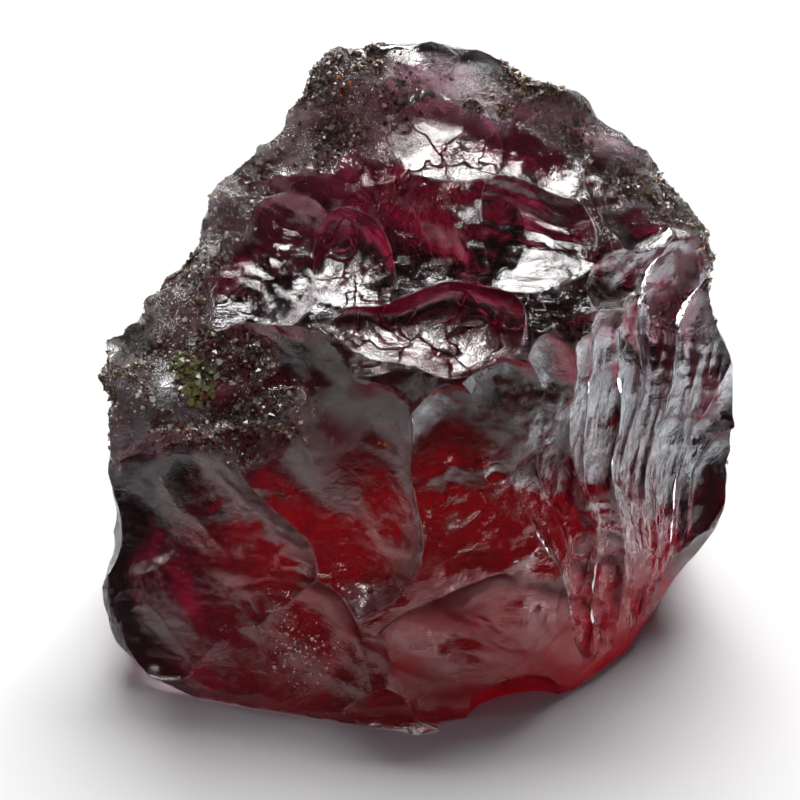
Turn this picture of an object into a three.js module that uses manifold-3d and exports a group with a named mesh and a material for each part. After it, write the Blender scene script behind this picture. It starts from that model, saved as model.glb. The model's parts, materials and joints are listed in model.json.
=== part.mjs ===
// A rough garnet crystal fragment. Millimetres, +Z up, origin at the middle of the base it rests on.
// The stone is one natural solid: a block bounded by its outermost corners, with shell-shaped
// fracture scars taken out of it. A scar is the end of a ball, stretched and sunk into the face.
import * as THREE from "three";
import { ConvexGeometry } from "three/addons/geometries/ConvexGeometry.js";
import { mergeVertices } from "three/addons/utils/BufferGeometryUtils.js";
import Module from "manifold-3d";

const wasm = await Module();
wasm.setup();

// Outside size of the stone.
const WIDTH = 19.0;
const DEPTH = 15.5;
const HEIGHT = 17.0;

// Points closer than this are one point.
const WELD = 1e-5;

// Corners of the block, walked round the stone from the crest down to the base.
const crest = [
  [-2.3, 3.8, 16.9], [0.3, 3.9, 17.0], [2.1, 3.4, 16.8], [4.2, 2.6, 15.8], [6.6, 2.2, 14.2],
  [8.4, 1.8, 12.4],
];
const rightSide = [
  [9.2, 1.4, 10.4], [9.4, 0.6, 8.6], [9.5, -0.2, 6.5], [9.4, -0.8, 5.0], [9.0, -1.2, 3.8],
];
const leftSide = [
  [-3.6, 3.5, 15.4], [-4.9, 2.6, 14.0], [-6.4, 1.4, 12.6], [-7.3, 0.5, 11.5], [-8.2, -0.5, 10.5],
  [-9.5, -2.1, 9.2], [-9.4, -2.0, 7.7], [-9.0, -2.9, 4.4], [-9.0, -3.5, 2.5], [-8.5, -4.5, 1.1],
  [-7.6, -5.5, 0.4],
];
const shoulder = [
  [-2.7, -3.2, 9.2], [-1.0, -3.4, 10.1], [1.0, -3.5, 10.6], [3.0, -3.2, 11.2], [5.4, -2.4, 11.9],
  [6.6, -1.5, 12.0],
];
const frontFace = [
  [-0.6, -7.0, 4.4], [2.2, -6.5, 4.6], [4.5, -5.5, 1.8], [4.5, -5.3, 4.5], [4.3, -4.6, 7.2],
];
const rearFace = [
  [7.6, 4.2, 2.0], [4.5, 6.9, 1.6], [0.0, 7.75, 1.8], [-4.6, 6.2, 1.6], [-7.4, 3.2, 1.8],
  [5.8, 4.9, 9.5], [1.0, 5.8, 10.5], [-3.8, 5.2, 9.0], [-6.9, 2.6, 7.0], [8.5, 2.6, 6.0],
  [0.5, 5.0, 14.4], [-2.5, 4.7, 13.6], [4.5, 4.4, 13.2],
];
const base = [
  [-6.3, -6.0, 0], [-5.0, -6.4, 0], [0.0, -7.75, 0], [1.6, -7.2, 0], [4.5, -5.6, 0], [6.0, -3.8, 0],
  [6.9, -1.5, 0], [6.8, 3.4, 0], [4.0, 6.2, 0], [0.0, 7.1, 0], [-4.4, 5.6, 0], [-7.0, 2.6, 0],
  [-7.6, -1.0, 0],
];

// Fracture scars: at = middle of the scar, facing = the way it looks, across and along = half sizes
// of the rim, depth = how far the floor lies below "at", bowl = 1 for steep walls up to 5 for a
// shallow dish, flat = 2 for a round floor up to 4 for a flat one, turn = degrees about facing.
const scars = {
  // left half of the front
  shelfHollow: { at: [-6.6, -4.8, 3.9], facing: [-0.3, -0.84, 0.46],
    across: 3.1, along: 4.1, depth: 1.0, bowl: 3, flat: 4 },
  tallHollow: { at: [-2.6, -4.9, 6.6], facing: [-0.12, -0.85, 0.51],
    across: 2.6, along: 3.6, depth: 0.6, bowl: 3.5, flat: 3 },
  lowChip: { at: [-3.6, -6.4, 2.0], facing: [-0.15, -0.93, 0.34],
    across: 2.4, along: 2.4, depth: 0.4, bowl: 3, flat: 3, turn: 10 },
  window: { at: [-6.9, -5.3, 1.9], facing: [-0.45, -0.8, 0.38],
    across: 1.7, along: 1.7, depth: 0.5, bowl: 2, flat: 3 },
  dimpleA: { at: [-4.4, -4.9, 4.0], facing: [-0.35, -0.78, 0.52],
    across: 1.3, along: 1.7, depth: 0.25, bowl: 5, turn: 20 },
  dimpleB: { at: [-3.5, -4.1, 6.4], facing: [-0.3, -0.8, 0.52],
    across: 1.5, along: 1.3, depth: 0.25, bowl: 5, turn: -15 },
  dimpleC: { at: [-7.4, -3.3, 4.1], facing: [-0.45, -0.75, 0.48],
    across: 1.2, along: 1.5, depth: 0.25, bowl: 5 },
  // left side
  leftStrip: { at: [-9.1, -2.4, 4.2], facing: [-0.92, -0.38, 0.1],
    across: 1.5, along: 3.6, depth: 0.5, bowl: 4 },
  leftLow: { at: [-8.5, -0.4, 4.6], facing: [-0.95, 0.2, 0.1],
    across: 2.8, along: 4.0, depth: 0.6, bowl: 4 },
  leftRearHigh: { at: [-7.4, 1.8, 8.6], facing: [-0.75, 0.5, 0.42],
    across: 3.2, along: 3.6, depth: 0.6, bowl: 4 },
  leftRearLow: { at: [-7.3, 2.4, 3.4], facing: [-0.75, 0.6, 0.3],
    across: 2.8, along: 3.2, depth: 0.6, bowl: 4 },
  splinter: { at: [-2.3, -6.6, 2.6], facing: [0.1, -0.9, 0.42],
    across: 0.8, along: 1.6, depth: 0.3, bowl: 2.5, turn: 25 },
  gouge: { at: [-5.2, -6.0, 1.3], facing: [-0.3, -0.85, 0.42],
    across: 1.6, along: 1.5, depth: 0.3, bowl: 4 },
  nick: { at: [-1.5, -6.9, 2.2], facing: [-0.1, -0.95, 0.3],
    across: 1.0, along: 1.2, depth: 0.3, bowl: 2, turn: -30 },
  // right half of the front
  frontShell: { at: [2.9, -5.1, 7.2], facing: [0.16, -0.84, 0.52],
    across: 3.5, along: 3.5, depth: 0.5, bowl: 4, flat: 3 },
  frontFoot: { at: [1.7, -6.8, 2.3], facing: [0.14, -0.98, 0.12],
    across: 3.0, along: 2.5, depth: 0.35, bowl: 2, flat: 4 },
  roundPit: { at: [2.4, -4.5, 7.5], facing: [0.16, -0.84, 0.52],
    across: 0.4, along: 0.4, depth: 0.2, bowl: 1.4 },
  shellLip: { at: [1.6, -5.4, 6.6], facing: [0.0, -0.8, 0.6],
    across: 1.6, along: 2.4, depth: 0.3, bowl: 5, turn: 15 },
  petal: { at: [3.6, -3.9, 9.0], facing: [0.35, -0.82, 0.45],
    across: 0.9, along: 2.1, depth: 0.4, bowl: 2.5, turn: -12 },
  archedEdge: { at: [2.7, -6.4, 0.4], facing: [0.35, -0.85, -0.4],
    across: 1.4, along: 0.9, depth: 0.5, bowl: 2 },
  baseLip: { at: [-0.9, -7.4, 0.9], facing: [-0.1, -0.98, -0.1],
    across: 2.0, along: 0.8, depth: 0.35, bowl: 2 },
  // top slope
  slopeSkin: { at: [-5.6, -0.4, 12.0], facing: [-0.34, -0.58, 0.74],
    across: 3.2, along: 4.6, depth: 0.35, bowl: 5, turn: -35 },
  pinkBowl: { at: [-4.1, -0.9, 12.1], facing: [-0.28, -0.62, 0.73],
    across: 2.5, along: 2.8, depth: 0.75, bowl: 3 },
  slopeFoot: { at: [-6.6, -2.0, 10.4], facing: [-0.4, -0.55, 0.73],
    across: 2.2, along: 1.9, depth: 0.4, bowl: 3 },
  shelfTop: { at: [-4.2, -3.0, 9.2], facing: [-0.2, -0.7, 0.69],
    across: 2.2, along: 1.6, depth: 0.45, bowl: 3 },
  darkSpot: { at: [-3.2, 1.8, 14.8], facing: [-0.3, -0.6, 0.74],
    across: 1.2, along: 0.9, depth: 0.4, bowl: 2.5 },
  underApex: { at: [-1.4, 1.4, 14.9], facing: [-0.12, -0.6, 0.79],
    across: 2.0, along: 1.9, depth: 0.4, bowl: 4 },
  ledgeArm: { at: [-1.9, -1.9, 12.0], facing: [-0.1, -0.4, 0.91],
    across: 1.3, along: 2.7, depth: 0.6, bowl: 1.5, flat: 4, turn: 18 },
  ledge: { at: [0.2, -2.8, 11.0], facing: [-0.02, -0.36, 0.93],
    across: 3.0, along: 1.5, depth: 0.45, bowl: 1.8, flat: 4, turn: 8 },
  rippleOuter: { at: [1.8, -1.8, 13.1], facing: [0.04, -0.57, 0.82],
    across: 3.3, along: 3.4, depth: 0.65, bowl: 4 },
  rippleInner: { at: [2.9, -1.1, 13.3], facing: [0.1, -0.56, 0.82],
    across: 2.0, along: 2.3, depth: 0.75, bowl: 2.5 },
  crackedStep: { at: [0.9, 1.0, 15.1], facing: [-0.03, -0.38, 0.92],
    across: 2.1, along: 1.6, depth: 0.6, bowl: 1.5, flat: 4 },
  greyFlat: { at: [3.6, 1.1, 14.9], facing: [0.2, -0.5, 0.84],
    across: 1.9, along: 1.7, depth: 0.45, bowl: 2.5, flat: 3 },
  crestBowl: { at: [6.1, 0.6, 13.6], facing: [0.45, -0.44, 0.78],
    across: 1.6, along: 2.1, depth: 0.5, bowl: 3 },
  blackHollow: { at: [6.2, -1.4, 12.3], facing: [0.42, -0.58, 0.7],
    across: 2.3, along: 1.4, depth: 0.5, bowl: 2.5, turn: -20 },
  apexFlat: { at: [-0.4, 3.2, 16.8], facing: [0.02, -0.25, 0.97],
    across: 1.5, along: 0.8, depth: 0.3, bowl: 1.6, flat: 4 },
  apexFront: { at: [1.6, 2.6, 16.3], facing: [0.05, -0.5, 0.86],
    across: 2.0, along: 1.1, depth: 0.3, bowl: 3 },
  crestRight: { at: [7.4, 1.2, 12.9], facing: [0.6, -0.3, 0.74],
    across: 1.6, along: 1.8, depth: 0.35, bowl: 3 },
  // right side
  fanGround: { at: [7.0, -2.8, 6.0], facing: [0.68, -0.72, 0.12],
    across: 3.6, along: 6.4, depth: 0.6, bowl: 5 },
  undercut: { at: [7.6, -2.2, 1.8], facing: [0.8, -0.5, -0.35],
    across: 1.6, along: 1.7, depth: 0.5, bowl: 2.5 },
  rightSide: { at: [8.9, 1.4, 6.4], facing: [0.97, 0.2, 0.1],
    across: 2.7, along: 3.9, depth: 0.4, bowl: 5 },
  rightHigh: { at: [8.4, 2.2, 10.6], facing: [0.8, 0.3, 0.5],
    across: 2.6, along: 2.6, depth: 0.5, bowl: 4 },
  rightLow: { at: [7.9, 2.4, 2.6], facing: [0.88, 0.4, 0.1],
    across: 2.6, along: 2.8, depth: 0.5, bowl: 4 },
  // rear
  rearShellLeft: { at: [-2.4, 6.5, 5.0], facing: [-0.22, 0.83, 0.5],
    across: 3.6, along: 4.2, depth: 1.0, bowl: 3, flat: 3 },
  rearShellRight: { at: [3.6, 6.1, 5.4], facing: [0.28, 0.82, 0.5],
    across: 3.6, along: 4.4, depth: 1.0, bowl: 3, flat: 3 },
  rearCorner: { at: [-6.0, 4.6, 3.6], facing: [-0.5, 0.75, 0.42],
    across: 2.4, along: 2.8, depth: 0.5, bowl: 3 },
  rearLow: { at: [0.8, 7.5, 1.6], facing: [0.05, 0.97, 0.2],
    across: 3.0, along: 1.5, depth: 0.3, bowl: 3 },
  rearMid: { at: [-3.4, 4.9, 9.6], facing: [-0.4, 0.85, 0.35],
    across: 3.0, along: 2.6, depth: 0.5, bowl: 4 },
  rearHigh: { at: [0.9, 5.2, 12.6], facing: [0.05, 0.93, 0.35],
    across: 3.0, along: 3.0, depth: 0.5, bowl: 4 },
  rearRight: { at: [5.6, 4.3, 11.6], facing: [0.45, 0.75, 0.48],
    across: 2.6, along: 2.8, depth: 0.5, bowl: 4 },
  rearSlope: { at: [-4.6, 3.7, 12.4], facing: [-0.6, 0.6, 0.52],
    across: 2.6, along: 2.8, depth: 0.5, bowl: 4 },
};

// Flutes of the right side: a fan of narrow scars that spreads upward from the lower front corner.
const FAN_FACING = [0.66, -0.73, 0.14];
const FLUTE_BOWL = 2.5;
const FLUTE_TAPER = 0.6;
const flutes = [
  { foot: [4.4, -5.0, 2.6], head: [3.2, -4.3, 8.0], width: 0.55, depth: 0.35 },
  { foot: [4.7, -4.9, 0.9], head: [4.0, -3.7, 9.2], width: 0.65, depth: 0.4 },
  { foot: [5.0, -4.7, 1.9], head: [4.7, -3.1, 10.6], width: 0.6, depth: 0.4 },
  { foot: [5.2, -4.4, 0.8], head: [5.5, -2.5, 11.5], width: 0.8, depth: 0.45 },
  { foot: [5.8, -3.9, 1.4], head: [6.3, -1.6, 11.9], width: 0.55, depth: 0.4 },
  { foot: [5.9, -3.6, 0.7], head: [7.4, -0.4, 12.2], width: 0.9, depth: 0.5 },
  { foot: [6.3, -3.2, 1.5], head: [8.5, 0.5, 10.4], width: 0.8, depth: 0.45 },
  { foot: [6.6, -3.0, 1.1], head: [9.1, 0.1, 7.6], width: 0.6, depth: 0.35 },
  { foot: [6.9, -2.7, 2.0], head: [9.3, -0.4, 5.4], width: 0.6, depth: 0.35 },
];

// Slow swelling that keeps faces and rims from being perfectly plain. It dies out at the base.
function swell(geometry) {
  const position = geometry.attributes.position;
  const point = new THREE.Vector3();
  for (let i = 0; i < position.count; i++) {
    const { x, y, z } = point.fromBufferAttribute(position, i);
    const share = THREE.MathUtils.clamp(z / 2, 0, 1);
    point.x += share * (0.16 * Math.sin(1.1 * z + 0.7 * y) + 0.08 * Math.sin(2.3 * y - 1.7 * z + 1.0));
    point.y += share * (0.16 * Math.sin(1.2 * x - 0.8 * z + 2.0) + 0.08 * Math.sin(2.1 * z + 1.9 * x));
    point.z += share * (0.16 * Math.sin(0.9 * x + 1.1 * y + 0.5) + 0.08 * Math.sin(2.2 * x - 1.8 * y + 3.0));
    position.setXYZ(i, point.x, point.y, point.z);
  }
  return geometry;
}

function toSolid(geometry) {
  geometry.deleteAttribute("normal");
  geometry.deleteAttribute("uv");
  const welded = swell(mergeVertices(geometry, WELD));
  return new wasm.Manifold(new wasm.Mesh({
    numProp: 3,
    vertProperties: welded.attributes.position.array,
    triVerts: Uint32Array.from(welded.index.array),
  }));
}

// Each triangle becomes four, split at the middles of its edges.
function quarter(geometry) {
  const source = geometry.attributes.position;
  const points = [];
  for (let i = 0; i < source.count; i += 3) {
    const [a, b, c] = [0, 1, 2].map((k) => new THREE.Vector3().fromBufferAttribute(source, i + k));
    const ab = a.clone().add(b).multiplyScalar(0.5);
    const bc = b.clone().add(c).multiplyScalar(0.5);
    const ca = c.clone().add(a).multiplyScalar(0.5);
    points.push(a, ab, ca, ab, b, bc, ca, bc, c, ab, bc, ca);
  }
  return new THREE.BufferGeometry().setFromPoints(points);
}

function blockSolid() {
  const corners = [crest, rightSide, leftSide, shoulder, frontFace, rearFace, base].flat();
  const hull = new ConvexGeometry(corners.map((corner) => new THREE.Vector3(...corner)));
  return toSolid(quarter(hull));
}

// Scars larger than LARGE_SCAR get a finer ball. POLE_SHIFT crowds its points down to the cutting pole.
const LARGE_SCAR = 2.5;
const POLE_SHIFT = 0.15;

// A ball whose ends are flattened as flat grows from 2, with its points crowded towards the low
// pole, where the scar's floor is. A taper makes it narrower at the foot than at the head.
function softBall(detail, flat, taper) {
  const ball = new THREE.IcosahedronGeometry(1, detail);
  const position = ball.attributes.position;
  const point = new THREE.Vector3();
  for (let i = 0; i < position.count; i++) {
    point.fromBufferAttribute(position, i);
    point.z -= POLE_SHIFT;
    point.normalize();
    const radius = Math.hypot(point.x, point.y);
    point.divideScalar((radius ** flat + Math.abs(point.z) ** flat) ** (1 / flat));
    const narrow = 1 + taper * point.y;
    position.setXYZ(i, point.x * narrow, point.y, point.z * narrow);
  }
  return ball;
}

// The ball whose sunken end leaves a rim of half sizes across and along at the given depth.
function sunkenBall(at, side, up, out, { across, along, depth, bowl, flat = 2, taper = 0 }) {
  const height = (bowl - 1) / bowl;
  const rimShare = (1 - height ** flat) ** (1 / flat);
  const reach = depth * bowl;
  const tool = softBall(Math.max(across, along) > LARGE_SCAR ? 4 : 3, flat, taper);
  tool.scale(across / rimShare, along / rimShare, reach);
  tool.applyMatrix4(new THREE.Matrix4().makeBasis(side, up, out));
  const centre = at.clone().addScaledVector(out, reach - depth);
  tool.translate(centre.x, centre.y, centre.z);
  return tool;
}

function scarTool({ at, facing, turn = 0, ...sizes }) {
  const out = new THREE.Vector3(...facing).normalize();
  const side = new THREE.Vector3(0, 0, 1).cross(out).normalize();
  side.applyAxisAngle(out, THREE.MathUtils.degToRad(turn));
  const up = new THREE.Vector3().crossVectors(out, side);
  return sunkenBall(new THREE.Vector3(...at), side, up, out, sizes);
}

function fluteTool({ foot, head, width, depth }) {
  const low = new THREE.Vector3(...foot);
  const high = new THREE.Vector3(...head);
  const up = high.clone().sub(low).normalize();
  const side = up.clone().cross(new THREE.Vector3(...FAN_FACING)).normalize();
  const out = new THREE.Vector3().crossVectors(side, up);
  const middle = low.clone().lerp(high, 0.5);
  const along = low.distanceTo(high) / 2;
  const sizes = { across: width, along, depth, bowl: FLUTE_BOWL, taper: FLUTE_TAPER };
  return sunkenBall(middle, side, up, out, sizes);
}

// Back to a mesh geometry, moved and stretched a hair so that the stone has exactly the stated outside size.
function toGeometry(solid) {
  const mesh = solid.getMesh();
  const geometry = new THREE.BufferGeometry();
  geometry.setAttribute("position", new THREE.BufferAttribute(mesh.vertProperties, 3));
  geometry.setIndex(new THREE.BufferAttribute(mesh.triVerts, 1));
  geometry.computeBoundingBox();
  const { min, max } = geometry.boundingBox;
  geometry.translate(-(min.x + max.x) / 2, -(min.y + max.y) / 2, -min.z);
  geometry.scale(WIDTH / (max.x - min.x), DEPTH / (max.y - min.y), HEIGHT / (max.z - min.z));
  geometry.computeVertexNormals();
  return geometry;
}

let stone = blockSolid();
for (const tool of [...Object.values(scars).map(scarTool), ...flutes.map(fluteTool)]) {
  stone = stone.subtract(toSolid(tool));
}
// Where two scars meet behind an edge a loose splinter can be left: only the stone is kept.
const pieces = stone.decompose().sort((a, b) => b.volume() - a.volume());

const crystal = new THREE.Mesh(
  toGeometry(pieces[0]),
  new THREE.MeshStandardMaterial({ color: 0x5a0f1c, roughness: 0.2, metalness: 0 }),
);
crystal.name = "garnet_crystal";

const group = new THREE.Group();
group.add(crystal);
export default group;
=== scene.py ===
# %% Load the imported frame
import json
import math
import time

import bmesh
import bpy
import numpy as np
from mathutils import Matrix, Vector

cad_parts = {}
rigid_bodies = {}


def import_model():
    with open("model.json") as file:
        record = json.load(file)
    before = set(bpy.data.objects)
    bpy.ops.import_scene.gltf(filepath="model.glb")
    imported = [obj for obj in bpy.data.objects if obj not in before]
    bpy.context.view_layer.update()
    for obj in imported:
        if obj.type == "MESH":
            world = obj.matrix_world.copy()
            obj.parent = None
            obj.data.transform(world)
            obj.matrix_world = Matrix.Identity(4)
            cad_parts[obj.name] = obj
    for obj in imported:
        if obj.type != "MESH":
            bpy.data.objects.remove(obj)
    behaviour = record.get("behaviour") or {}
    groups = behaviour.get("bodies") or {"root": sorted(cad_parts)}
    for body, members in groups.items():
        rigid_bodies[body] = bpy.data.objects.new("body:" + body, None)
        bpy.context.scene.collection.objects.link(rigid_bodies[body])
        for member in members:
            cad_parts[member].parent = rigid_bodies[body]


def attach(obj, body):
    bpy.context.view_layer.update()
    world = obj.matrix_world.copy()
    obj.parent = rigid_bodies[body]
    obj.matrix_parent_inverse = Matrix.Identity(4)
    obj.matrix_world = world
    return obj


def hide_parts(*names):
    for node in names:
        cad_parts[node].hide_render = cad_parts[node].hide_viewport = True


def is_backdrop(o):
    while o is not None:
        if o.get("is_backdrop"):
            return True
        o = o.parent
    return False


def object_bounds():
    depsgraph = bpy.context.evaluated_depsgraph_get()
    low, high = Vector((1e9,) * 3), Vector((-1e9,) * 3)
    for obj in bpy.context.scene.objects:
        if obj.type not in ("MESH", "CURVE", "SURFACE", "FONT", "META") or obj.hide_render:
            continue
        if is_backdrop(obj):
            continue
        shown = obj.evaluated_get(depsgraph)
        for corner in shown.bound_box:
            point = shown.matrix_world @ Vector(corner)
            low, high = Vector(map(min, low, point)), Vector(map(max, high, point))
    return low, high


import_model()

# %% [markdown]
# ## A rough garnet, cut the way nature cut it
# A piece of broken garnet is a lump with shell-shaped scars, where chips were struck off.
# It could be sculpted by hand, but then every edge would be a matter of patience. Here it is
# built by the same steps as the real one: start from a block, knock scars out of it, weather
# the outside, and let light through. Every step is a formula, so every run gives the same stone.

clock = time.time()
cad_box = [list(corner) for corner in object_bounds()]
MM = 0.001
SIZE_MM = np.array([(high - low) / MM for low, high in zip(*cad_box)])


def report(*words):
    """Print what a cell made, and how long the script has run."""
    print(*words, f"({time.time() - clock:.1f} s)")


report("outside size in mm:", SIZE_MM.round(2))

# %% [markdown]
# ## The block
# Before a chip was struck off, a rough stone was a lump bounded by its outermost corners. A convex
# hull is the simplest surface that holds a set of corners, so the corners are all that has to be
# chosen. They are in millimetres, walked round the stone from the crest down to the base.

# %% Corners of the block
CREST = [
    (-2.3, 3.8, 16.9), (0.3, 3.9, 17.0), (2.1, 3.4, 16.8), (4.2, 2.6, 15.8), (6.6, 2.2, 14.2),
    (8.4, 1.8, 12.4),
]
RIGHT_SIDE = [(9.2, 1.4, 10.4), (9.4, 0.6, 8.6), (9.5, -0.2, 6.5), (9.4, -0.8, 5.0), (9.0, -1.2, 3.8)]
LEFT_SIDE = [
    (-3.6, 3.5, 15.4), (-4.9, 2.6, 14.0), (-6.4, 1.4, 12.6), (-7.3, 0.5, 11.5), (-8.2, -0.5, 10.5),
    (-9.5, -2.1, 9.2), (-9.4, -2.0, 7.7), (-9.0, -2.9, 4.4),
    (-9.0, -3.5, 2.5), (-8.5, -4.5, 1.1), (-7.6, -5.5, 0.4),
]
SHOULDER = [
    (-2.7, -3.2, 9.2), (-1.0, -3.4, 10.1), (1.0, -3.5, 10.6), (3.0, -3.2, 11.2), (5.4, -2.4, 11.9),
    (6.6, -1.5, 12.0),
]
FRONT_FACE = [(-0.6, -7.0, 4.4), (2.2, -6.5, 4.6), (4.5, -5.5, 1.8), (4.5, -5.3, 4.5), (4.3, -4.6, 7.2)]
REAR_FACE = [
    (7.6, 4.2, 2.0), (4.5, 6.9, 1.6), (0.0, 7.75, 1.8), (-4.6, 6.2, 1.6), (-7.4, 3.2, 1.8),
    (5.8, 4.9, 9.5), (1.0, 5.8, 10.5), (-3.8, 5.2, 9.0), (-6.9, 2.6, 7.0), (8.5, 2.6, 6.0),
    (0.5, 5.0, 14.4), (-2.5, 4.7, 13.6), (4.5, 4.4, 13.2),
]
BASE = [
    (-6.3, -6.0, 0), (-5.0, -6.4, 0), (0.0, -7.75, 0), (1.6, -7.2, 0), (4.5, -5.6, 0), (6.0, -3.8, 0),
    (6.9, -1.5, 0), (6.8, 3.4, 0), (4.0, 6.2, 0),
    (0.0, 7.1, 0), (-4.4, 5.6, 0), (-7.0, 2.6, 0), (-7.6, -1.0, 0),
]
print("corners:", len(CREST + RIGHT_SIDE + LEFT_SIDE + SHOULDER + FRONT_FACE + REAR_FACE + BASE))

# %% [markdown]
# ## From corners to a fine mesh
# bmesh makes the hull and cuts each face into smaller ones. The faces stay flat for now, but the
# many points are needed later, when the surface is bent and weathered.

# %% Make the block
SUBDIVISIONS = 5


def make_block(levels):
    """The convex hull of all corners, each face split into four as many times as levels says."""
    bm = bmesh.new()
    for corner in CREST + RIGHT_SIDE + LEFT_SIDE + SHOULDER + FRONT_FACE + REAR_FACE + BASE:
        bm.verts.new(corner)
    bmesh.ops.convex_hull(bm, input=bm.verts)
    inside = [v for v in bm.verts if not v.link_faces]
    bmesh.ops.delete(bm, geom=inside, context="VERTS")
    bmesh.ops.triangulate(bm, faces=bm.faces)
    for _ in range(levels):
        bmesh.ops.subdivide_edges(bm, edges=bm.edges[:], cuts=1, use_grid_fill=True)
    bmesh.ops.triangulate(bm, faces=bm.faces)
    bmesh.ops.recalc_face_normals(bm, faces=bm.faces)
    mesh = bpy.data.meshes.new("block")
    bm.to_mesh(mesh)
    bm.free()
    return mesh


block = make_block(SUBDIVISIONS)
report("block triangles:", len(block.polygons))

# %% [markdown]
# ## The scars
# Garnet has no cleavage: it breaks in curved shells, like glass. Each scar is the mark of one chip.
# A scar is told by its middle and the way it faces, the half sizes of its rim, and its depth.
# Bowl goes from 1 (steep walls) to 5 (a shallow dish). Flat is 2 for a round floor, and up to 4
# for a flat one with a bend at its edge. Turn is in degrees about the way the scar faces.
# The list could be random, but scars chosen one by one give the stone its own face.

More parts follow.
